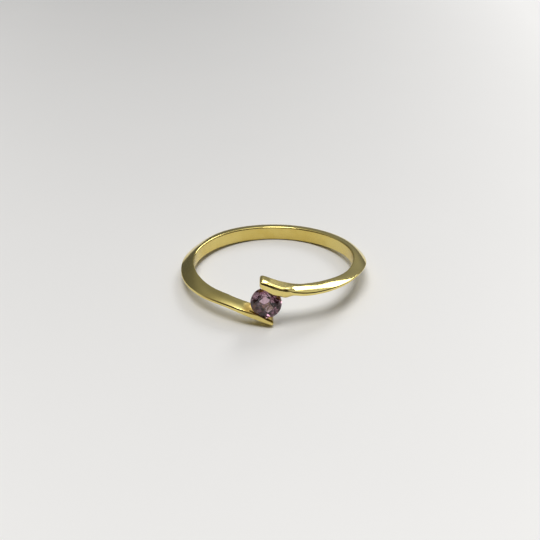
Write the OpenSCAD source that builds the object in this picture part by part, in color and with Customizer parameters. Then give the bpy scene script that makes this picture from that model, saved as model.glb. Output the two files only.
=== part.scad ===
// Bypass ring with one small round faceted stone.
// The band is one solid: a shank whose two ends pass each other at the front,
// one above the other, and hold the stone by its girdle between them.
//
// Own frame of the ring: the finger hole runs along Z, the stone faces -Y and
// station angles are counted from the back (+Y), positive towards +X.
// The ring is then laid down as it rests by itself: +Z is up, the surface it
// lies on is Z = 0 and the origin is under the middle of its box.

/* [Finger hole] */
// Inside diameter of the ring
bore_d = 16.5; // [15.7:0.1:18.2]

/* [Band] */
// Rounding of the two inner edges
edge_r = 0.13; // [0.08:0.01:0.16]
// Angle at which the upper arm ends, counted from the back
upper_end = 183.4; // [181:0.1:185]
// Angle at which the lower arm ends, counted from the back
lower_end = 184.2; // [181:0.1:185]
// How much further the upper arm's end face reaches at the hole than at the ridge, in degrees
upper_skew = 1.5; // [0:0.1:2]
// How flat the upper arm's sloping faces are pressed beside the stone, added to their fullness
pressed = 22; // [10:1:26]
// How much further out the ridge of the upper arm stands there
stands_out = 0.2; // [0:0.02:0.24]
// Rise of both arms at the stone, as a share of the drawn one
rise_share = 1; // [0.9:0.02:1.1]
// Thickness of the metal all round, as a share of the drawn one
thick_share = 1; // [0.9:0.02:1.15]

/* [Stone] */
// Diameter of the girdle
stone_d = 3.0; // [2.9:0.02:3.1]
// Height of the crown above the girdle
crown_h = 0.43; // [0.36:0.01:0.5]
// Depth of the pavilion below the girdle
pavilion_h = 1.17; // [1.1:0.01:1.2]
// Radius of the blunt bottom of the pavilion
culet_r = 0.375; // [0.3:0.005:0.42]
// Thickness of the girdle
girdle_h = 0.09; // [0.06:0.01:0.14]
// Table width as a share of the diameter
table_share = 0.56; // [0.5:0.01:0.62]
// How far the face of the stone leans upwards, in degrees
stone_lean = 9; // [0:1:11]

/* [Seat] */
// Distance from the axis of the finger hole to the girdle plane, beyond the hole's radius
girdle_out = 1.27; // [1.24:0.01:1.32]
// Width of the channel between the two arms
channel_w = 2.68; // [2.6:0.02:2.74]
// How much further the front of the upper lip reaches over the stone
lip_over = 0.14; // [0:0.01:0.18]
// How much narrower the channel is at the finger hole, on either side
channel_taper = 0.17; // [0:0.01:0.2]
// Slope of that channel, in degrees
channel_slope = 26.5; // [22:0.5:30]
// Thickness of the groove that the girdle sits in
groove_t = 0.24; // [0.2:0.01:0.28]
// Air between the stone and its seat
seat_gap = 0.04; // [0.03:0.01:0.05]

/* [Hidden] */
// Sections of the band, one row each, from the back to the end of an arm. The
// other half is the same half turned by 180 degrees about the axis of the stone.
//  angle  station angle from the back
//  mid    height of the middle of the inner wall
//  thick  thickness from the inner wall to the ridge
//  width  height of the inner wall
//  flat   height of the narrow outer face
//  bulge  fullness of the two sloping faces, 1 is straight
//  lean   height of the outer face's middle above the inner wall's middle
STATIONS = [
  // angle  mid   thick width flat  bulge lean
  [   0,   0.00, 1.45, 1.52, 0.30, 5.0,  0.00],
  [  40,   0.02, 1.42, 1.50, 0.30, 4.5,  0.00],
  [  80,   0.17, 1.41, 1.38, 0.05, 2.4,  0.07],
  [ 110,   0.28, 1.36, 1.05, 0.11, 1.9,  0.38],
  [ 135,   0.57, 1.46, 0.98, 0.24, 2.4,  0.10],
  [ 155,   0.78, 1.52, 0.98, 0.28, 2.8, -0.03],
  [ 170,   1.22, 1.64, 1.02, 0.50, 3.0, -0.02],
  [ 186,   1.98, 1.74, 1.09, 1.00, 3.2, -0.16],
];
ANGLE = 0; MID = 1; THICK = 2; WIDTH = 3; FLAT = 4; BULGE = 5; LEAN = 6;
LAST = len(STATIONS) - 1;

bore_r = bore_d / 2;
stone_r = stone_d / 2;
step = 5;               // angle between two sections of the sweep
SHARES = [0.3, 0.5, 0.66, 0.8, 0.9, 1];   // points across a sloping face
FACETS = 16;            // corners of the girdle

// smooth value of a column at any angle: cubic pieces through the rows.
// mid and lean change sign with the angle, the other columns do not
function slope_at(c, i) =
  i == 0 ? ((c == MID || c == LEAN) ? (STATIONS[1][c] - STATIONS[0][c]) / STATIONS[1][ANGLE] : 0)
  : i == LAST ? (STATIONS[i][c] - STATIONS[i-1][c]) / (STATIONS[i][ANGLE] - STATIONS[i-1][ANGLE])
  : (STATIONS[i+1][c] - STATIONS[i-1][c]) / (STATIONS[i+1][ANGLE] - STATIONS[i-1][ANGLE]);
function row_of(a, i = 0) = i >= LAST - 1 || a < STATIONS[i+1][ANGLE] ? i : row_of(a, i + 1);
function piece(c, a, i) =
  let (d = STATIONS[i+1][ANGLE] - STATIONS[i][ANGLE], u = (a - STATIONS[i][ANGLE]) / d)
    (2*u*u*u - 3*u*u + 1) * STATIONS[i][c] + (u*u*u - 2*u*u + u) * d * slope_at(c, i)
    + (3*u*u - 2*u*u*u) * STATIONS[i+1][c] + (u*u*u - u*u) * d * slope_at(c, i+1);
function value(c, a) = piece(c, abs(a), row_of(abs(a)))
  * ((c == MID || c == LEAN) ? sign(a) : 1)
  * (c == MID ? rise_share : c == THICK ? thick_share : 1);

// at the sides of the ring the face towards the other arm is straighter than the other face.
// beside the stone the faces of the upper arm are flatter, its ridge stands further
// out and a little higher, and towards its end it gets thinner again
function rising(a, lo, hi) = let (t = max(0, min(1, (a - lo) / (hi - lo)))) t * t * (3 - 2 * t);
function straighter(a) = 1.25 * exp(-pow((abs(a) - 62) / 14, 2)) + 0.75 * exp(-pow((abs(a) - 92) / 20, 2));
function press_at(a) = a > 0 ? pressed * exp(-pow((a - 170.5) / 4, 2)) : 0;
function ridge_rise(a) = a > 0 ? 0.11 * rising(a, 163, 171) : 0;
function lip_rise(a) = a > 0 ? 0.13 * exp(-pow((a - 166.5) / 4.5, 2)) : 0;
function thick(a) = value(THICK, a)
  + (a > 0 ? stands_out * exp(-pow((a - 170) / 5, 2)) - 0.12 * rising(a, 174, 181) : 0);

// one section as [radius, height] points, from the lower inner edge round the
// outside to the upper inner edge; the two ends of the list lie inside the hole
function half_section(a, up) =
  let (m = value(MID, a), t = thick(a), w = value(WIDTH, a) / 2,
       f = value(FLAT, a) / 2, l = value(LEAN, a), e = edge_r,
       b = value(BULGE, a) + press_at(a) - (up * a < 0 ? straighter(a) : 0),
       top = m + up * w, rim = m + l + up * f + (up > 0 ? ridge_rise(a) : lip_rise(a)))
  concat(
    [[bore_r - 0.35, top - up * 1.7 * e], [bore_r - 0.02, top - up * 1.12 * e]],
    [for (q = [30, 60, 90]) [bore_r + e * (1 - cos(q)), top - up * e * (1 - sin(q))]],
    [for (s = SHARES) [bore_r + t * s, rim + (top - rim) * (1 - pow(s, b))]]);
function section(a) =
  let (lo = half_section(a, -1), hi = half_section(a, 1), n = len(hi), k = (lo[n-1] + hi[n-1]) / 2)
  concat(lo, [k + [0.02, 0]], [for (i = [n-1 : -1 : 0]) hi[i]]);

// sections along the band; the last ones at each end close in a little, which
// rounds the corners of the square-cut ends
function inset_at(a) =
  let (d = min(upper_end - a, a + lower_end)) d < 0.05 ? 0.2 : d < 0.6 ? 0.06 : d < 1.4 ? 0.012 : 0;
COURSE = concat(
  [-lower_end, -lower_end + 0.5, -lower_end + 1.3],
  [for (a = [-180 : step : 180]) a],
  [upper_end - 1.3, upper_end - 0.5, upper_end]);
// the upper end face runs straight to the front, so it turns away from the radius
function skewed(a, r) =
  a > 180 ? a + upper_skew * (a - 180) / (upper_end - 180) * (1 - (r - bore_r) / thick(a)) : a;
function ring_of(a) =
  let (s = section(a), k = inset_at(a),
       c = [bore_r + thick(a) / 2, value(MID, a) + value(LEAN, a) / 2])
  [for (p = s) let (q = p + (c - p) * k, b = skewed(a, q[0])) [q[0] * sin(b), q[0] * cos(b), q[1]]];
RINGS = [for (a = COURSE) ring_of(a)];
N = len(RINGS[0]);
M = len(RINGS);
SKIN = [for (r = RINGS) each r];

// faceted round cut: table, girdle and culet corners about the Z axis,
// the girdle plane at Z = 0 and the table on the +Z side
function circle_of(n, r, z, turn = 0) = [for (i = [0 : n-1]) [r * cos(turn + 360 * i / n), r * sin(turn + 360 * i / n), z]];
table_r = stone_r * table_share;
GEM = concat(
  circle_of(8, table_r, girdle_h/2 + crown_h, 22.5),
  circle_of(8, (table_r + stone_r) / 2 * 1.035, girdle_h/2 + crown_h * 0.52),
  circle_of(FACETS, stone_r, girdle_h/2),
  circle_of(FACETS, stone_r, -girdle_h/2),
  circle_of(8, culet_r, -girdle_h/2 - pavilion_h, 22.5));
pavilion_slope = pavilion_h / (stone_r - culet_r);

// from the stone's own frame to the ring's: the table looks to -Y and a
// little upwards
function turn_x(p, a) = [p[0], p[1] * cos(a) - p[2] * sin(a), p[1] * sin(a) + p[2] * cos(a)];
function turn_y(p, a) = [p[0] * cos(a) + p[2] * sin(a), p[1], -p[0] * sin(a) + p[2] * cos(a)];
seat_y = -(bore_r + girdle_out);
STONE_POINTS = [for (p = GEM) turn_x(p, 90 - stone_lean) + [0, seat_y, 0]];
module at_stone() translate([0, seat_y, 0]) rotate([90 - stone_lean, 0, 0]) children();

// How the ring lies: the end of the lower arm and two places of the band touch
// the surface. The plane under them is z = foot + side*x + back*y, and it is
// the one that lets the ring's middle sink lowest.
ALL = concat(SKIN, STONE_POINTS);
low_z = min([for (p = SKIN) p[2]]);
FOOT = [for (p = SKIN) if (p[2] < low_z + 0.0001) p][0];
BELOW = [for (r = RINGS) for (i = [0 : floor(N / 2)]) if (r[i][1] > FOOT[1] + 1) r[i] - FOOT];
function back_for(side) = min([for (d = BELOW) (d[2] - side * d[0]) / d[1]]);
function sink(side) = back_for(side) * (0.4 - FOOT[1]) - side * FOOT[0];
function best_side(lo, hi, n) =
  n == 0 ? (lo + hi) / 2
  : let (a = lo + (hi - lo) / 3, b = hi - (hi - lo) / 3)
    sink(a) < sink(b) ? best_side(a, hi, n - 1) : best_side(lo, b, n - 1);
side = best_side(-0.3, 0.3, 34);
back = back_for(side);
// turning that plane level: first about Y, then about X
lean_y = atan(side);
lean_x = -atan(back * cos(lean_y));
function laid(p) = turn_x(turn_y(p, lean_y), lean_x);
LAID = [for (p = ALL) laid(p)];
function reach(k, up) = up ? max([for (p = LAID) p[k]]) : min([for (p = LAID) p[k]]);
SHIFT = [-(reach(0, true) + reach(0, false)) / 2, -(reach(1, true) + reach(1, false)) / 2, -reach(2, false)];
module lay_down() translate(SHIFT) rotate([lean_x, 0, 0]) rotate([0, lean_y, 0]) children();

// the metal before the hole and the seat are cut
module band_body() {
  ends = [for (r = [RINGS[0], RINGS[M-1]]) [for (k = [0:2]) ([for (p = r) p[k]] * [for (p = r) 1]) / N]];
  cap0 = [for (i = [0 : N-1]) [M * N, (i + 1) % N, i]];
  cap1 = [for (i = [0 : N-1]) [M * N + 1, (M-1) * N + i, (M-1) * N + (i + 1) % N]];
  skin = [for (j = [0 : M-2]) for (i = [0 : N-1]) let (k = (i + 1) % N)
    each [[j*N + i, (j+1)*N + i, (j+1)*N + k], [j*N + i, (j+1)*N + k, j*N + k]]];
  polyhedron(concat(SKIN, ends), concat(cap0, skin, cap1), convexity = 6);
}

// the channel's outline across its length: it narrows a little to the finger hole,
// and the upper lip leans over the stone
half_w = channel_w / 2;
half_t = groove_t / 2;
inner_w = half_w - channel_taper * (1.8 - half_t) / (1.27 - half_t);
CHANNEL = [[-inner_w, -1.8], [inner_w, -1.8], [half_w, -half_t], [half_w, half_t],
  [half_w - lip_over * (1.4 - half_t) / (0.47 - half_t), 1.4], [-half_w, 1.4], [-half_w, -half_t]];

// channel between the two arms, the girdle's groove in it and the seat itself
module seat() {
  at_stone() {
    rotate([0, 0, -channel_slope]) {
      rotate([90, 0, 90]) linear_extrude(4.6, center = true) polygon(CHANNEL);
      translate([-1.95, -stone_r - seat_gap, -groove_t / 2]) cube([3.9, stone_d + 2 * seat_gap, groove_t]);
    }
    rotate_extrude($fn = 96)
      polygon([
        [0, -girdle_h/2 - seat_gap - (stone_r + seat_gap) * pavilion_slope],
        [stone_r + seat_gap, -girdle_h/2 - seat_gap],
        [stone_r + seat_gap, girdle_h/2 + seat_gap],
        [table_r + 0.1, girdle_h/2 + crown_h + seat_gap],
        [0, girdle_h/2 + crown_h + seat_gap]]);
  }
}

module band() {
  color([0.80, 0.70, 0.38])
    lay_down()
      difference() {
        band_body();
        rotate([0, 0, 7.7]) translate([0, 0, -6]) cylinder(h = 12, r = bore_r, $fn = 180);
        seat();
      }
}

module stone() {
  color([0.36, 0.20, 0.40])
    lay_down()
      at_stone()
        hull() polyhedron(GEM, [[for (i = [7:-1:0]) i], [for (i = [0:7]) len(GEM) - 8 + i],
          [for (i = [16 : 15 + FACETS]) i]]);
}

band();
stone();
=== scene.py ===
import math

import bmesh
import bpy
import numpy as np
from mathutils import Matrix, Quaternion, Vector


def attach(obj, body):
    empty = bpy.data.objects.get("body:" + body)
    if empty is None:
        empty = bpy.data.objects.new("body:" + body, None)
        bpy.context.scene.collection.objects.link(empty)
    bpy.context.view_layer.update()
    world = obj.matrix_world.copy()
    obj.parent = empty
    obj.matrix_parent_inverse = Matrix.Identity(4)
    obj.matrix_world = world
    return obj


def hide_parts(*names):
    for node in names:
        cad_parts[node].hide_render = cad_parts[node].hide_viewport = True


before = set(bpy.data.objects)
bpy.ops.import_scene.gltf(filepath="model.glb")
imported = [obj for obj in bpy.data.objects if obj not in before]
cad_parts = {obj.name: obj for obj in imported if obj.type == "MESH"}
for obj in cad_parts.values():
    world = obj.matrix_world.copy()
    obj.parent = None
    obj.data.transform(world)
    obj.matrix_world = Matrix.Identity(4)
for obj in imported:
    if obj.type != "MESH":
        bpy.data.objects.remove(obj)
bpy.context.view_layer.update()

# ---------------------------------------------------------------- named sizes
# All lengths are millimetres in the ring's own frame, as in the part's source:
# the finger hole runs along Z, the stone faces -Y, and station angles are
# counted from the back (+Y), positive towards +X.
BORE_R = 8.25
EDGE_R = 0.13
UPPER_END, LOWER_END = 183.4, 184.2
UPPER_SKEW = 1.5
PRESSED, STANDS_OUT = 34.0, 0.2
STONE_R = 1.5
CROWN_H, PAVILION_H, GIRDLE_H = 0.43, 1.17, 0.09
CULET_R = 0.375
PAVILION_SLOPE = PAVILION_H / (STONE_R - CULET_R)
TABLE_R = STONE_R * 0.56
STONE_LEAN = 9.0
SEAT_Y = -(BORE_R + 1.27)
CHANNEL_W, CHANNEL_SLOPE = 2.68, 26.5
GROOVE_T, SEAT_GAP = 0.24, 0.04
LIP_OVER, CHANNEL_TAPER = 0.14, 0.17
# how the ring lies: turned about Y, then about X, then moved
LEAN_Y, LEAN_X = -0.119244, -5.35577
SHIFT = np.array([0.0, 0.226761, 1.57543])

# angle, mid, thick, width, flat, bulge, lean: one row for each section
STATIONS = np.array([
    [0, 0.00, 1.45, 1.52, 0.30, 5.0, 0.00],
    [40, 0.02, 1.42, 1.50, 0.30, 4.5, 0.00],
    [80, 0.17, 1.41, 1.38, 0.05, 2.4, 0.07],
    [110, 0.28, 1.36, 1.05, 0.11, 1.9, 0.38],
    [135, 0.57, 1.46, 0.98, 0.24, 2.4, 0.10],
    [155, 0.78, 1.52, 0.98, 0.28, 2.8, -0.03],
    [170, 1.22, 1.64, 1.02, 0.50, 3.0, -0.02],
    [186, 1.98, 1.74, 1.09, 1.00, 3.2, -0.16],
])
MID, THICK, WIDTH, FLAT, BULGE, LEAN = 1, 2, 3, 4, 5, 6
ODD = (MID, LEAN)


def value(column, a):
    """A column of STATIONS at the angle a: cubic pieces through the rows."""
    x, y = STATIONS[:, 0], STATIONS[:, column]
    slope = np.empty(len(x))
    slope[0] = (y[1] - y[0]) / x[1] if column in ODD else 0.0
    slope[-1] = (y[-1] - y[-2]) / (x[-1] - x[-2])
    slope[1:-1] = (y[2:] - y[:-2]) / (x[2:] - x[:-2])
    b = abs(a)
    i = int(np.clip(np.searchsorted(x, b, side="right") - 1, 0, len(x) - 2))
    d = x[i + 1] - x[i]
    u = (b - x[i]) / d
    v = ((2*u**3 - 3*u**2 + 1) * y[i] + (u**3 - 2*u**2 + u) * d * slope[i]
         + (3*u**2 - 2*u**3) * y[i + 1] + (u**3 - u**2) * d * slope[i + 1])
    return v * (np.sign(a) if column in ODD else 1.0)


def smooth(lo, hi, x):
    t = np.clip((x - lo) / (hi - lo), 0.0, 1.0)
    return t * t * (3 - 2 * t)


def thick(a):
    """Thickness at the signed angle a: the upper arm's ridge stands further out beside the stone."""
    t = value(THICK, a)
    if a > 0:
        t += STANDS_OUT * math.exp(-((a - 170) / 5) ** 2) - 0.12 * float(smooth(174, 181, a))
    return t


def soft_max(a, b, k):
    """The larger of a and b, with the corner between them rounded over k."""
    h = np.clip(0.5 + 0.5 * (a - b) / k, 0.0, 1.0)
    return b + (a - b) * h + k * h * (1 - h)


# axes of the channel between the arms, for an arm above (side 1) or below (-1).
# A lower arm is looked at after a half turn about Y, which turns the stone's
# lean round.
def channel_axes(side):
    lean, slope = math.radians(90 - STONE_LEAN * side), math.radians(-CHANNEL_SLOPE)
    turn = np.array([[1, 0, 0], [0, math.cos(lean), -math.sin(lean)], [0, math.sin(lean), math.cos(lean)]])
    roll = np.array([[math.cos(slope), -math.sin(slope), 0], [math.sin(slope), math.cos(slope), 0], [0, 0, 1]])
    m = turn @ roll
    return m[:, 0], m[:, 1], m[:, 2]


AXES = {s: channel_axes(s) for s in (1, -1)}


def cone_radius(w):
    """Radius of the stone's seat at the height w above the girdle plane."""
    g = GIRDLE_H / 2 + SEAT_GAP
    crown = (STONE_R + SEAT_GAP) - (w - g) * (STONE_R + SEAT_GAP - TABLE_R - 0.1) / CROWN_H
    pavilion = (STONE_R + SEAT_GAP) - (-w - g) / PAVILION_SLOPE
    return np.where(w > g, crown, np.where(w < -g, pavilion, STONE_R + SEAT_GAP))


# heights above the girdle plane at which the cut face is sampled: closely at
# the two walls of the girdle's groove
HALF_T = GROOVE_T / 2
GROOVE_W = np.array([-0.90, -0.72, -0.56, -0.42, -0.32, -0.25, -0.20, -0.16, -HALF_T - 0.006, -HALF_T + 0.006,
                     -0.08, 0.0, 0.08, HALF_T - 0.006, HALF_T + 0.006, 0.15, 0.18, 0.22, 0.27, 0.33])
ACROSS = len(GROOVE_W)


def turned(a, r, side):
    """Station angle of the points r of the section at a: the end face of the upper arm runs straight to the front."""
    if a <= 180 or side < 0:
        return np.full(np.shape(r), float(a))
    return a + UPPER_SKEW * (a - 180) / (UPPER_END - 180) * (1 - (np.asarray(r) - BORE_R) / thick(a))


def channel_half(w, side):
    """Half the channel's width at the height w above the girdle plane."""
    half = CHANNEL_W / 2 - CHANNEL_TAPER * np.maximum(-w - HALF_T, 0) / (1.27 - HALF_T)
    if side > 0:
        half = half - LIP_OVER * np.maximum(w - HALF_T, 0) / (0.47 - HALF_T)
    return half


def cut_height(a, r, side):
    """Height, above which the metal of an upper arm is left, over the points r of the section at a."""
    U, V, W = AXES[side]
    t = np.radians(turned(a, r, side))
    x, y = r * np.sin(t), r * np.cos(t) - SEAT_Y
    flat = (CHANNEL_W / 2 - V[0] * x - V[1] * y) / V[2]

    def uw(z):
        return U[0] * x + U[1] * y + U[2] * z, W[0] * x + W[1] * y + W[2] * z

    for _ in range(4):
        u, w = uw(flat)
        flat = (channel_half(w, side) - V[0] * x - V[1] * y) / V[2]
    u, w = uw(flat)
    within = 1.0 - smooth(2.2, 2.3, np.abs(u))
    z = flat.copy()
    deep = (STONE_R + SEAT_GAP - V[0] * x - V[1] * y) / V[2]
    z = np.where((np.abs(w) < HALF_T) & (np.abs(u) < 1.95), deep, z)
    round_z = flat.copy()
    for _ in range(4):
        u, w = uw(round_z)
        v = np.sqrt(np.maximum(cone_radius(w) ** 2 - u ** 2, 0))
        round_z = (np.maximum(v, channel_half(w, side)) - V[0] * x - V[1] * y) / V[2]
    z = np.maximum(z, round_z)
    return np.where(within > 0, z, -9.0), flat


def bend(start, corner, end, n):
    """n points of a rounded corner, both ends included."""
    t = np.linspace(0, 1, n)[:, None]
    return (1 - t) ** 2 * start + 2 * t * (1 - t) * corner + t ** 2 * end


def crease(start, corner, end, n):
    """n points over a ridge with a narrow steep facet, rounded at both of its sides."""
    high, low = corner + (start - corner) * 0.55, corner + (end - corner) * 0.75
    return np.concatenate([bend(start, high, high + (low - high) * 0.22, n // 2),
                           bend(low + (high - low) * 0.22, low, end, n - n // 2)])


INNER_N, BEND_N, RIDGE_N, WALL_N = 7, 9, 8, 5


def upper_half_section(a, side):
    """Section of an arm above the middle (a from 0 up) as [radius, height] points, from the middle of the inner wall up, out, down and back in."""
    m, t, w = value(MID, a), thick(a * side), value(WIDTH, a)
    f, b, l = value(FLAT, a), value(BULGE, a), value(LEAN, a)
    # at the sides of the ring the face towards the other arm is straighter than the other face
    b_lo = b - 1.25 * math.exp(-((a - 62) / 14) ** 2) - 0.75 * math.exp(-((a - 92) / 20) ** 2)
    if side > 0:
        # flatter faces where the metal was pressed over the stone
        press = PRESSED * math.exp(-((a - 172.5) / 4.2) ** 2)
        b += press
        b_lo += press
    top, bot = m + w / 2, m - w / 2
    rim_up, rim_lo = m + l + f / 2, m + l - f / 2
    if side > 0:
        rim_up += 0.11 * float(smooth(163, 171, a))
        rim_lo += 0.13 * math.exp(-((a - 166.5) / 4.5) ** 2)
    rc = math.cos(math.radians(180 - a)) if a > 90 else 1.0

    def up(r):
        return rim_up + (top - rim_up) * (1 - np.clip((r - BORE_R) / t, 0, 1) ** b)

    def lo(r):
        z = rim_lo + (bot - rim_lo) * (1 - np.clip((r - BORE_R) / t, 0, 1) ** b_lo)
        if a < 150:
            return z
        cut, flat = cut_height(a, r, side)
        z = soft_max(z, np.where(cut > -8, flat, -9.0), 0.03)
        return np.maximum(z, cut)

    outer = BORE_R + t
    r_all = np.array([BORE_R, BORE_R + EDGE_R, outer])
    cut_in = 0.0
    if a > 150:
        cut_in = float(smooth(-0.02, 0.10, cut_height(a, r_all, side)[1][0] - bot))
    worn = EDGE_R + 0.07 * (1 - float(smooth(70, 115, a)))
    e_up, e_lo = worn, worn * (1 - cut_in) + 0.04 * cut_in

    def ridge(fn, d, share):
        """Rounded corner between a sloping face and the outer face."""
        z1 = float(fn(np.array([outer]))[0])
        g = (float(fn(np.array([outer - 0.02]))[0]) - z1) / 0.02
        back = d / math.sqrt(1 + g * g)
        back = min(back, 0.25 * t)
        z0 = float(fn(np.array([outer - back]))[0])
        down = min(2.0 * d, share * abs(up(outer) - float(lo(np.array([outer]))[0])))
        return outer - back, z0, z1, down

    # nearly sharp at the sides of the ring, wider along the arms
    soft = 0.025 + 0.04 * float(smooth(88, 112, a)) + (0.05 * float(smooth(170, 177, a)) if side > 0 else 0.03 * float(smooth(105, 125, a)))
    ru, zu0, zu1, du = ridge(up, soft if side > 0 else min(soft, 0.04), 0.45 if side > 0 else 0.3)
    rl, zl0, zl1, dl = ridge(lo, soft if side < 0 else min(soft, 0.04), 0.45 if side < 0 else 0.3)

    # where the sloping faces are sampled
    s = np.linspace(0, 1, ACROSS)
    spread = s + 0.10 * np.sin(np.pi * s)

    def across(r_from, r_to):
        even = r_from + (r_to - r_from) * spread
        if a < 150:
            return even
        W = AXES[side][2]
        z_mid = m - w / 2 + 0.1
        fixed = ((GROOVE_W - W[2] * z_mid) / (-W[1]) - SEAT_Y) / max(rc, 0.5)
        fixed = np.clip(fixed, r_from, r_to)
        # keeps the ends of the list inside and strictly in order
        low, high = r_from + 0.004 * np.arange(ACROSS), r_to - 0.004 * np.arange(ACROSS)[::-1]
        fixed = np.minimum(np.maximum(fixed, low), high)
        k = float(smooth(152, 163, a))
        return even * (1 - k) + fixed * k

    r_up = across(BORE_R + e_up, ru)
    r_lo = across(BORE_R + e_lo, rl)
    z_top_in = float(up(np.array([BORE_R]))[0])
    z_bot_in = float(lo(np.array([BORE_R]))[0])

    wall_mid = (z_top_in + z_bot_in) / 2
    inner_up = np.stack([np.full(INNER_N, BORE_R), np.linspace(wall_mid, z_top_in - e_up, INNER_N)], 1)
    bend_up = bend(np.array([BORE_R, z_top_in - e_up]), np.array([BORE_R, z_top_in]),
                   np.array([r_up[0], float(up(r_up[:1])[0])]), BEND_N)
    face_up = np.stack([r_up, up(r_up)], 1)
    ridge_up = crease(face_up[-1], np.array([outer, zu1]), np.array([outer, zu1 - du]), RIDGE_N)
    wz = np.linspace(zu1 - du, zl1 + dl, WALL_N)
    half = max((zu1 - zl1) / 2, 1e-6)
    xi = (wz - (zu1 + zl1) / 2) / half
    crown = 0.02 * (1 - xi ** 2)
    crown -= crown[0]
    wall = np.stack([outer + crown, wz], 1)
    ridge_lo = crease(np.array([rl, zl0]), np.array([outer, zl1]), np.array([outer, zl1 + dl]), RIDGE_N)[::-1]
    face_lo = np.stack([r_lo[::-1], lo(r_lo[::-1])], 1)
    bend_lo = bend(face_lo[-1], np.array([BORE_R, z_bot_in]), np.array([BORE_R, z_bot_in + e_lo]), BEND_N)
    inner_lo = np.stack([np.full(INNER_N, BORE_R), np.linspace(z_bot_in + e_lo, wall_mid, INNER_N)], 1)
    return np.concatenate([
        inner_up[:-1], bend_up[:-1], face_up[:-1], ridge_up[:-1], wall[:-1],
        ridge_lo[:-1], face_lo[:-1], bend_lo[:-1], inner_lo[:-1]])


def section(a):
    if a >= 0:
        return upper_half_section(a, 1)
    s = upper_half_section(-a, -1)
    s = np.stack([s[:, 0], -s[:, 1]], 1)
    return np.concatenate([s[:1], s[1:][::-1]])


def course():
    """Station angles, with the shrink of each section towards its middle that rounds the two ends."""
    rows = []
    steps = 8
    for end, sign, round_mm in ((LOWER_END, -1, 0.20), (UPPER_END, 1, 0.26)):
        deg = math.degrees(round_mm / 9.2)
        stop = end - deg
        inner = list(np.arange(0.0 if sign > 0 else 1.2, 150, 1.2)) + list(np.arange(150, 164, 0.6)) + list(np.arange(164, stop - 0.1, 0.3))
        side = [(sign * q, 0.0) for q in inner]
        for k in range(steps + 1):
            phi = math.radians(90 * k / steps)
            side.append((sign * (end - deg * (1 - math.sin(phi))), round_mm * (1 - math.cos(phi))))
        rows += side[::-1] if sign < 0 else side
    return rows


def lay(points):
    """From the ring's own frame to where it lies, in metres."""
    p = np.asarray(points, float)
    c, s = math.cos(math.radians(LEAN_Y)), math.sin(math.radians(LEAN_Y))
    p = np.stack([p[:, 0] * c + p[:, 2] * s, p[:, 1], -p[:, 0] * s + p[:, 2] * c], 1)
    c, s = math.cos(math.radians(LEAN_X)), math.sin(math.radians(LEAN_X))
    p = np.stack([p[:, 0], p[:, 1] * c - p[:, 2] * s, p[:, 1] * s + p[:, 2] * c], 1)
    return (p + SHIFT) / 1000.0


def make_band():
    rows = course()
    rings, uvs = [], []
    for a, inset in rows:
        s = section(a)
        if inset > 0:
            rc = BORE_R + thick(a) / 2
            hr = thick(a) / 2
            hz = (s[:, 1].max() - s[:, 1].min()) / 2
            zc = (s[:, 1].max() + s[:, 1].min()) / 2
            s = np.stack([rc + (s[:, 0] - rc) * (1 - inset / hr), zc + (s[:, 1] - zc) * (1 - inset / hz)], 1)
        t = np.radians(turned(a, s[:, 0], 1) if a > 0 else np.full(len(s), a))
        rings.append(np.stack([s[:, 0] * np.sin(t), s[:, 0] * np.cos(t), s[:, 1]], 1))
        closed = np.concatenate([s, s[:1]])
        run = np.concatenate([[0], np.cumsum(np.linalg.norm(np.diff(closed, axis=0), axis=1))])
        uvs.append(np.stack([np.full(len(run), math.radians(a) * 9.0), run], 1))
    n, m = len(rings[0]), len(rings)
    verts = lay(np.concatenate(rings))
    faces, face_uv = [], []
    for j in range(m - 1):
        for i in range(n):
            k = (i + 1) % n
            faces.append((j * n + i, (j + 1) * n + i, (j + 1) * n + k, j * n + k))
            face_uv.append((uvs[j][i], uvs[j + 1][i], uvs[j + 1][i + 1], uvs[j][i + 1]))
    for j, order in ((0, 1), (m - 1, -1)):
        loop = [j * n + i for i in range(n)][::order]
        faces.append(tuple(loop))
        flat = np.stack([rings[j][:, 2], np.linalg.norm(rings[j][:, :2], axis=1)], 1)
        face_uv.append(tuple(flat[i - j * n] for i in loop))
    mesh = bpy.data.meshes.new("gold_band")
    mesh.from_pydata([tuple(v) for v in verts], [], faces)
    inside = mesh.attributes.new("inside", "FLOAT", "POINT")
    radius = np.linalg.norm(np.concatenate(rings)[:, :2], axis=1)
    inside.data.foreach_set("value", (1 - smooth(BORE_R + 0.005, BORE_R + 0.06, radius)).astype(np.float32))
    layer = mesh.uv_layers.new(name="along")
    flat_uv = np.concatenate([np.array(f, float) for f in face_uv])
    layer.data.foreach_set("uv", flat_uv.astype(np.float32).ravel())
    mesh.validate()
    ob = bpy.data.objects.new("gold_band", mesh)
    bpy.context.scene.collection.objects.link(ob)
    bm = bmesh.new()
    bm.from_mesh(mesh)
    bmesh.ops.remove_doubles(bm, verts=bm.verts, dist=1e-7)
    bmesh.ops.recalc_face_normals(bm, faces=bm.faces)
    for fc in bm.faces:
        fc.smooth = True
    for e in bm.edges:
        e.smooth = not (len(e.link_faces) == 2 and e.calc_face_angle(0) > math.radians(42))
    bm.to_mesh(mesh)
    bm.free()
    return ob


# ----------------------------------------------------------------- the stone
STONE_TURN = 0.0
LOW_R = 0.60
# direction, slope and distance from the middle of the facets at the bottom
BLUNT = [(0, 0.0, 0.0), (-60, 0.9, 0.2), (-20, 0.93, 0.24), (60, 0.7, 0.28), (120, 0.3, 0.2), (180, 0.7, 0.28)]


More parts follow.
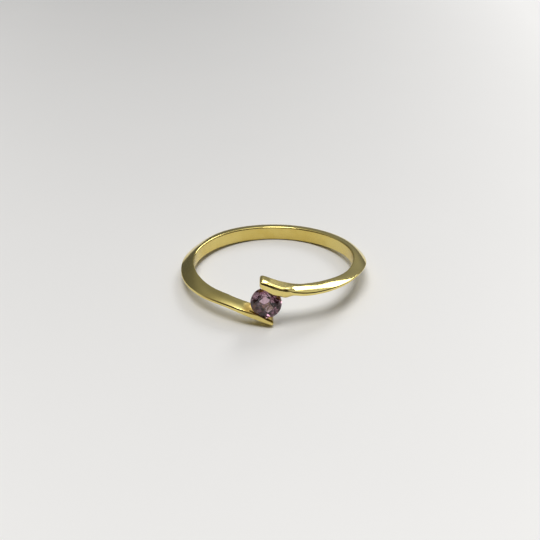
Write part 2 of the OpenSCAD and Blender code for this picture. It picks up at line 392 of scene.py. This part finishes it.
def make_stone():
    """Round brilliant: a 96-sided prism cut by the plane of each facet."""
    bm = bmesh.new()
    sides = 96
    hi, lo = 1.2, -1.6
    ring_hi = [bm.verts.new((STONE_R * math.cos(2 * math.pi * i / sides), STONE_R * math.sin(2 * math.pi * i / sides), hi)) for i in range(sides)]
    ring_lo = [bm.verts.new((v.co.x, v.co.y, lo)) for v in ring_hi]
    for i in range(sides):
        k = (i + 1) % sides
        bm.faces.new((ring_lo[i], ring_lo[k], ring_hi[k], ring_hi[i]))
    bm.faces.new(ring_hi)
    bm.faces.new(ring_lo[::-1])
    top, girdle, culet = GIRDLE_H / 2 + CROWN_H, GIRDLE_H / 2, -GIRDLE_H / 2 - PAVILION_H

    def cut(point, normal):
        bmesh.ops.bisect_plane(bm, geom=list(bm.verts) + list(bm.edges) + list(bm.faces), dist=1e-6,
                               plane_co=point, plane_no=normal, clear_outer=True, clear_inner=False)
        edges = [e for e in bm.edges if len(e.link_faces) == 1]
        if edges:
            bmesh.ops.edgeloop_fill(bm, edges=edges)

    def plane_through(p, q, r):
        n = (Vector(q) - Vector(p)).cross(Vector(r) - Vector(p)).normalized()
        if n.dot(Vector((p[0], p[1], 0))) < 0:
            n.negate()
        return n

    def at(radius, degrees, z):
        t = math.radians(degrees + STONE_TURN)
        return (radius * math.cos(t), radius * math.sin(t), z)

    # kites go from the corners of the table to the girdle; star tips lie between
    star_r = 1.13
    star_z = top - (star_r * math.cos(math.radians(22.5)) - TABLE_R) * (top - girdle) / (STONE_R - TABLE_R)
    low_r = LOW_R
    low_z = -girdle - PAVILION_SLOPE * (STONE_R - low_r * math.cos(math.radians(22.5)))
    cut((0, 0, top), (0, 0, 1))
    for k in range(8):
        c = 22.5 + 45 * k
        t0, g0 = at(TABLE_R, c, top), at(STONE_R, c, girdle)
        s0, s1 = at(star_r, c - 22.5, star_z), at(star_r, c + 22.5, star_z)
        cut(t0, plane_through(t0, s0, s1))
        t1 = at(TABLE_R, c + 45, top)
        cut(t0, plane_through(t0, s1, t1))
        for s, d in ((s0, -11.25), (s1, 11.25)):
            # the half facets dip under the girdle plane between the corners
            g1 = at(STONE_R, c + 2 * d, girdle + 0.0)
            cut(g0, plane_through(g0, s, g1))
    for k in range(8):
        c = 22.5 + 45 * k
        g0 = at(STONE_R, c, -girdle)
        l0, l1 = at(low_r, c - 22.5, low_z), at(low_r, c + 22.5, low_z)
        cut(g0, plane_through(g0, l0, l1))
        for l, d in ((l0, -22.5), (l1, 22.5)):
            g1 = at(STONE_R, c + d, -girdle)
            cut(g0, plane_through(g0, l, g1))
    # the bottom is blunt and a little off centre, with a few uneven facets
    for degrees, slope, off in BLUNT:
        x, y = math.cos(math.radians(degrees)), math.sin(math.radians(degrees))
        cut((x * off, y * off, culet), Vector((x * slope, y * slope, -1)).normalized())
    bmesh.ops.dissolve_degenerate(bm, edges=bm.edges, dist=1e-5)
    bmesh.ops.recalc_face_normals(bm, faces=bm.faces)
    mesh = bpy.data.meshes.new("amethyst_stone")
    bm.to_mesh(mesh)
    bm.free()
    # the facets below the girdle are less well polished than those above it, and the blunt bottom is scratched; the
    # facets below the girdle, but for the blunt bottom, also get painted shade
    under = mesh.attributes.new("under", "FLOAT", "FACE")
    under.data.foreach_set("value", [(2.0 if p.normal.z < -0.71 else 1.0) if p.center.z < -girdle * 0.5 else 0.0 for p in mesh.polygons])
    lean = math.radians(90 - STONE_LEAN)
    co = np.array([v.co for v in mesh.vertices], float)
    c, s = math.cos(lean), math.sin(lean)
    co = np.stack([co[:, 0], co[:, 1] * c - co[:, 2] * s + SEAT_Y, co[:, 1] * s + co[:, 2] * c], 1)
    mesh.vertices.foreach_set("co", lay(co).astype(np.float32).ravel())
    mesh.update()
    for p in mesh.polygons:
        p.use_smooth = False
    ob = bpy.data.objects.new("amethyst_stone", mesh)
    bpy.context.scene.collection.objects.link(ob)
    return ob


band = make_band()
stone = make_stone()
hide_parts("band")
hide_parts("stone")
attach(band, "root")
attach(stone, "root")


# ------------------------------------------------------------------ materials
class Nodes:
    """Short names for making nodes and joining them."""

    def __init__(self, tree):
        self.tree = tree

    def new(self, kind, **settings):
        node = self.tree.nodes.new(kind)
        for key, val in settings.items():
            setattr(node, key, val)
        return node

    def link(self, a, b):
        self.tree.links.new(a, b)

    def put(self, socket, val):
        if isinstance(val, bpy.types.NodeSocket):
            self.link(val, socket)
        elif val is not None:
            socket.default_value = val

    def math(self, op, a, b=None, c=None, clamp=False):
        node = self.new("ShaderNodeMath", operation=op, use_clamp=clamp)
        for i, val in enumerate((a, b, c)):
            self.put(node.inputs[i], val)
        return node.outputs[0]

    def spread(self, x, lo, hi, to_lo=0.0, to_hi=1.0):
        node = self.new("ShaderNodeMapRange", interpolation_type="SMOOTHSTEP")
        for i, val in enumerate((x, lo, hi, to_lo, to_hi)):
            self.put(node.inputs[i], val)
        return node.outputs[0]

    def mix(self, factor, a, b):
        node = self.new("ShaderNodeMix", data_type="RGBA")
        self.put(node.inputs["Factor"], factor)
        for name, val in (("A", a), ("B", b)):
            socket = [q for q in node.inputs if q.name == name and q.type == "RGBA"][0]
            self.put(socket, val)
        return [q for q in node.outputs if q.type == "RGBA"][0]

    def noise(self, vector, scale, detail=2.0, rough=0.5, distortion=0.0):
        node = self.new("ShaderNodeTexNoise")
        self.put(node.inputs["Vector"], vector)
        node.inputs["Scale"].default_value = scale
        node.inputs["Detail"].default_value = detail
        node.inputs["Roughness"].default_value = rough
        node.inputs["Distortion"].default_value = distortion
        return node.outputs[0]

    def stretch(self, vector, scale, turn=(0, 0, 0)):
        node = self.new("ShaderNodeMapping")
        self.put(node.inputs["Vector"], vector)
        node.inputs["Scale"].default_value = scale
        node.inputs["Rotation"].default_value = turn
        return node.outputs[0]


def new_material(name):
    mat = bpy.data.materials.new(name)
    mat.use_nodes = True
    return mat, Nodes(mat.node_tree), mat.node_tree.nodes["Principled BSDF"]


def gold_material():
    """Polished gold finish: a greenish pale gold with soft clouding, fine polishing lines along the band and a slight
    satin grain, with painted shade in the corner beside the stone.
    """
    mat, n, shader = new_material("gold_finish")
    place = n.new("ShaderNodeTexCoord").outputs["Object"]
    along = n.new("ShaderNodeUVMap", uv_map="along").outputs["UV"]
    clouds = n.noise(place, 420, 3, 0.55)
    patches = n.noise(place, 1500, 2, 0.6)
    lines = n.noise(n.stretch(along, (1.6, 34, 1)), 1.0, 3, 0.6)
    cross = n.noise(n.stretch(along, (9, 26, 1), (0, 0, 0.9)), 1.0, 2, 0.5)
    grain = n.noise(place, 9000, 2, 0.6)
    split = n.new("ShaderNodeSeparateXYZ")
    n.link(along, split.inputs[0])
    u = split.outputs[0]
    # the inside is less polished and a little browner, most of all at the back
    inside = n.new("ShaderNodeAttribute", attribute_name="inside").outputs["Fac"]
    far_back = n.spread(n.math("ABSOLUTE", u), 1.0, 9.0, 1.0, 0.25)
    brown = n.math("MULTIPLY", n.math("MULTIPLY", inside, far_back), n.spread(clouds, 0.3, 0.7, 0.55, 1.0))
    # satin grain left beside the stone, where the metal was pressed over it
    right_zone = n.math("MULTIPLY", n.spread(u, 25.6, 26.4), n.spread(u, 27.7, 28.2, 1.0, 0.0))
    left_zone = n.math("MULTIPLY", n.spread(u, -28.3, -27.4), n.spread(u, -26.2, -25.0, 1.0, 0.0))
    satin = n.math("ADD", right_zone, n.math("MULTIPLY", left_zone, 0.35))
    satin = n.math("MULTIPLY", satin, n.math("SUBTRACT", 1.0, inside))
    tint = n.mix(n.spread(clouds, 0.35, 0.7), (0.83, 0.69, 0.25, 1), (0.78, 0.63, 0.21, 1))
    tint = n.mix(n.spread(patches, 0.55, 0.85, 0.0, 0.35), tint, (0.72, 0.56, 0.17, 1))
    tint = n.mix(brown, tint, (0.69, 0.52, 0.13, 1))
    # painted shade in the corner between the lower arm and the stone: the colour there is darkened, and the same place
    # is made rougher
    apart = n.new("ShaderNodeVectorMath", operation="DISTANCE")
    n.link(place, apart.inputs[0])
    apart.inputs[1].default_value = tuple(lay([[0, SEAT_Y, 0]])[0])
    near = n.spread(apart.outputs["Value"], 0.0020, 0.0027, 1.0, 0.0)
    facing = n.new("ShaderNodeSeparateXYZ")
    n.link(n.new("ShaderNodeNewGeometry").outputs["Normal"], facing.inputs[0])
    beneath = n.math("MULTIPLY", n.math("LESS_THAN", u, -24.0), n.spread(facing.outputs[2], 0.10, 0.45))
    painted_corner_shade = n.math("MULTIPLY", n.math("MULTIPLY", near, beneath), n.spread(patches, 0.25, 0.65, 0.75, 1.0))
    tint = n.mix(painted_corner_shade, tint, (0.36, 0.24, 0.06, 1))
    n.link(tint, shader.inputs["Base Color"])
    shader.inputs["Metallic"].default_value = 1.0
    rough = n.math("ADD", n.spread(lines, 0.3, 0.75, 0.07, 0.14), n.spread(clouds, 0.4, 0.8, 0.0, 0.05))
    rough = n.math("ADD", rough, n.spread(cross, 0.6, 0.8, 0.0, 0.05))
    rough = n.math("ADD", rough, n.math("MULTIPLY", inside, 0.12))
    rough = n.math("ADD", rough, n.math("MULTIPLY", satin, 0.14))
    rough = n.math("ADD", rough, n.math("MULTIPLY", painted_corner_shade, 0.26))
    n.link(rough, shader.inputs["Roughness"])
    height = n.math("ADD", n.math("MULTIPLY", lines, 0.5), n.math("MULTIPLY", grain, 0.5))
    height = n.math("ADD", height, n.math("MULTIPLY", cross, 0.35))
    bump = n.new("ShaderNodeBump")
    bump.inputs["Strength"].default_value = 0.5
    bump.inputs["Distance"].default_value = 0.0000035
    n.link(height, bump.inputs["Height"])
    n.link(bump.outputs[0], shader.inputs["Normal"])
    return mat


def amethyst_material():
    """Dark purple quartz, with the soft colour bands that such stones have."""
    mat, n, shader = new_material("amethyst")
    place = n.new("ShaderNodeTexCoord").outputs["Object"]
    zones = n.noise(n.stretch(place, (1, 0.35, 1), (0.3, 0.5, 0.7)), 900, 2, 0.5, 0.4)
    tint = n.mix(n.spread(zones, 0.35, 0.65), (0.93, 0.86, 0.92, 1), (0.82, 0.73, 0.83, 1))
    # painted shade: a dark film on the steep facets behind, which darkens the inside of the stone
    under = n.new("ShaderNodeAttribute", attribute_name="under").outputs["Fac"]
    painted_dark_film = n.math("MULTIPLY", n.math("COMPARE", under, 1.0, 0.3), n.spread(n.noise(place, 2600, 2, 0.5), 0.3, 0.7, 0.75, 1.0))
    tint = n.mix(painted_dark_film, tint, (0.08, 0.045, 0.07, 1))
    n.link(tint, shader.inputs["Base Color"])
    shader.inputs["Transmission Weight"].default_value = 1.0
    shader.inputs["IOR"].default_value = 1.55
    wear = n.noise(place, 5000, 2, 0.5)
    rough = n.math("ADD", n.spread(wear, 0.3, 0.8, 0.0, 0.04), n.math("MULTIPLY", under, n.spread(wear, 0.3, 0.8, 0.01, 0.04)))
    n.link(rough, shader.inputs["Roughness"])
    scratches = n.noise(n.stretch(place, (1, 1, 0.3), (0, -0.6, 0)), 5200, 2, 0.5)
    bottom = n.math("GREATER_THAN", under, 1.5)
    bump = n.new("ShaderNodeBump")
    bump.inputs["Strength"].default_value = 1.0
    bump.inputs["Distance"].default_value = 0.00002
    n.link(n.math("MULTIPLY", scratches, n.math("ADD", n.math("MULTIPLY", bottom, 0.92), 0.08)), bump.inputs["Height"])
    n.link(bump.outputs[0], shader.inputs["Normal"])
    volume = n.new("ShaderNodeVolumeAbsorption")
    volume.inputs["Color"].default_value = (0.58, 0.335, 0.41, 1)
    volume.inputs["Density"].default_value = 670.0
    out = [q for q in mat.node_tree.nodes if q.type == "OUTPUT_MATERIAL"][0]
    n.link(volume.outputs[0], out.inputs["Volume"])
    return mat


band.data.materials.append(gold_material())
stone.data.materials.append(amethyst_material())

# ---------------------------------------------------------------------- floor
floor_mesh = bpy.data.meshes.new("floor")
half = 1.6
floor_mesh.from_pydata([(-half, -half, 0), (half, -half, 0), (half, half, 0), (-half, half, 0)], [], [(0, 1, 2, 3)])
floor = bpy.data.objects.new("floor", floor_mesh)
bpy.context.scene.collection.objects.link(floor)
fmat, fn, fshader = new_material("floor")
fplace = fn.new("ShaderNodeTexCoord").outputs["Object"]
fsplit = fn.new("ShaderNodeSeparateXYZ")
fn.link(fplace, fsplit.inputs[0])
fx, fy = fsplit.outputs[0], fsplit.outputs[1]
paper = fn.mix(fn.spread(fn.noise(fplace, 60, 3, 0.5), 0.3, 0.7), (0.997, 0.99, 0.979, 1), (1.003, 0.996, 0.985, 1))
# painted shade on the floor: a little darker to the back left, lighter to the front right
gx = fn.math("MINIMUM", fn.math("MAXIMUM", fn.math("MULTIPLY", fx, 1 / 0.030), -2.0), 2.0)
gy = fn.math("MINIMUM", fn.math("MAXIMUM", fn.math("MULTIPLY", fy, 1 / 0.060), -1.0), 2.0)
along_x = fn.math("MULTIPLY", gx, fn.math("ADD", fn.math("MULTIPLY", gx, 0.046), 0.052))
along_y = fn.math("MULTIPLY", gy, fn.math("ADD", fn.math("MULTIPLY", gy, 0.020), -0.110))
shade = fn.math("ADD", fn.math("ADD", along_x, along_y), fn.math("MULTIPLY", fn.math("MULTIPLY", gx, gy), 0.036))
shade = fn.math("MINIMUM", fn.math("MAXIMUM", fn.math("ADD", shade, 0.815), 0.55), 0.95)
tone = fn.new("ShaderNodeVectorMath", operation="SCALE")
fn.link(paper, tone.inputs[0])
fn.link(shade, tone.inputs["Scale"])
fn.link(tone.outputs[0], fshader.inputs["Base Color"])
fshader.inputs["Roughness"].default_value = 0.85
floor.data.materials.append(fmat)


# --------------------------------------------------------------------- camera
def camera_frame():
    """Place and axes of the camera in the frame the part lies in, metres."""
    e, psi = math.radians(24.2), math.radians(4.4)
    cx, cy, focal, dist = 273.4, 262.7, 948.5, 99.0
    f = np.array([0, math.cos(e), -math.sin(e)])
    r = np.array([1.0, 0, 0])
    u = np.array([0, math.sin(e), math.cos(e)])
    place = -(f * dist + r * (cx - 270) / focal * dist - u * (cy - 270) / focal * dist)
    turn = np.array([[math.cos(psi), -math.sin(psi), 0], [math.sin(psi), math.cos(psi), 0], [0, 0, 1]])
    place, f, r, u = turn @ place, turn @ f, turn @ r, turn @ u
    at = lay([place])[0]
    ends = lay([place + f, place + r, place + u])
    axes = [(q - at) * 1000 for q in ends]
    return at, axes[0], axes[1], axes[2], 36.0 * focal / 540


place, forward, right, upward, lens = camera_frame()
cam_data = bpy.data.cameras.new("camera")
cam_data.sensor_width = 36
cam_data.lens = lens
cam_data.clip_start, cam_data.clip_end = 0.002, 5
cam = bpy.data.objects.new("camera", cam_data)
bpy.context.scene.collection.objects.link(cam)
cam.matrix_world = Matrix((
    (right[0], upward[0], -forward[0], place[0]),
    (right[1], upward[1], -forward[1], place[1]),
    (right[2], upward[2], -forward[2], place[2]),
    (0, 0, 0, 1)))
bpy.context.scene.camera = cam


# --------------------------------------------------------------------- lights
def toward(azimuth, elevation, dist):
    """A point that far off; azimuth from +Y towards +X, as seen from above."""
    a, e = math.radians(azimuth), math.radians(elevation)
    return Vector((math.sin(a) * math.cos(e), math.cos(a) * math.cos(e), math.sin(e))) * dist


def panel(name, azimuth, elevation, dist, wide, high, radiance, color=(1, 1, 1), round_=False, roll=0.0):
    """A soft panel of the given size in degrees, as seen from the ring; roll turns its top to the right."""
    data = bpy.data.lights.new(name, "AREA")
    data.shape = "ELLIPSE" if round_ else "RECTANGLE"
    data.size = 2 * dist * math.tan(math.radians(wide / 2))
    data.size_y = 2 * dist * math.tan(math.radians(high / 2))
    surface = data.size * data.size_y * (math.pi / 4 if round_ else 1)
    data.energy = radiance * math.pi * surface
    data.color = color
    ob = bpy.data.objects.new(name, data)
    bpy.context.scene.collection.objects.link(ob)
    ob.location = toward(azimuth, elevation, dist)
    ob.rotation_mode = "QUATERNION"
    ob.rotation_quaternion = (-ob.location).to_track_quat("-Z", "Y") @ Quaternion((0, 0, 1), math.radians(roll))
    return ob


world = bpy.data.worlds.new("studio")
world.use_nodes = True
wn = Nodes(world.node_tree)
back = world.node_tree.nodes["Background"]
look = wn.new("ShaderNodeTexCoord").outputs["Generated"]
split = wn.new("ShaderNodeSeparateXYZ")
wn.link(look, split.inputs[0])
wx, wy, wz = split.outputs
ramp = wn.new("ShaderNodeValToRGB")
# brightness of the room by the height of the direction
stops = [(0.0, 0.10), (0.17, 0.12), (0.42, 0.15), (0.545, 0.20), (0.64, 0.25), (0.707, 0.30), (0.766, 0.36),
         (0.82, 0.48), (0.86, 0.66), (0.90, 0.90), (0.94, 1.15), (1.0, 1.3)]
while len(ramp.color_ramp.elements) < len(stops):
    ramp.color_ramp.elements.new(0.5)
for el, (pos, v) in zip(ramp.color_ramp.elements, stops):
    el.position = pos
    el.color = (v, v, v, 1)
wn.link(wz, ramp.inputs[0])


def lobe(azimuth, elevation, sigma, amount):
    """A soft round glow in one direction of the room."""
    dot = wn.new("ShaderNodeVectorMath", operation="DOT_PRODUCT")
    wn.link(look, dot.inputs[0])
    dot.inputs[1].default_value = toward(azimuth, elevation, 1.0)
    over = wn.math("MULTIPLY", wn.math("SUBTRACT", dot.outputs["Value"], 1.0), 1 / math.radians(sigma) ** 2)
    return wn.math("MULTIPLY", wn.math("EXPONENT", over), amount)


# the photographer's side of the room is dark and brown, but for its ceiling
behind = wn.spread(wy, -0.25, 0.20, 0.12, 1.0)
behind = wn.math("MAXIMUM", behind, wn.spread(wz, 0.86, 0.97, 0.12, 1.0))
level = wn.math("MULTIPLY", ramp.outputs[0], behind)
for args in ((58, 38, 15, 0.40), (-90, 8, 15, 0.30), (8, 20, 12, 0.16)):
    level = wn.math("ADD", level, lobe(*args))
room = wn.mix(wn.spread(behind, 0.12, 0.9), (1.0, 0.80, 0.58, 1), (0.985, 1.0, 1.015, 1))
wn.link(room, back.inputs["Color"])
wn.link(level, back.inputs["Strength"])
bpy.context.scene.world = world

panel("ceiling", -155, 80, 1.2, 29, 29, 6.3, (1.0, 0.99, 0.97), round_=True)
panel("window", 23.6, 37.1, 1.2, 17, 25, 5.7, (0.98, 0.99, 1.0), roll=25)
panel("side", 115, 65, 1.2, 20, 16, 1.3, (1.0, 1.0, 1.0), round_=True)

bpy.context.scene.view_settings.view_transform = "Standard"
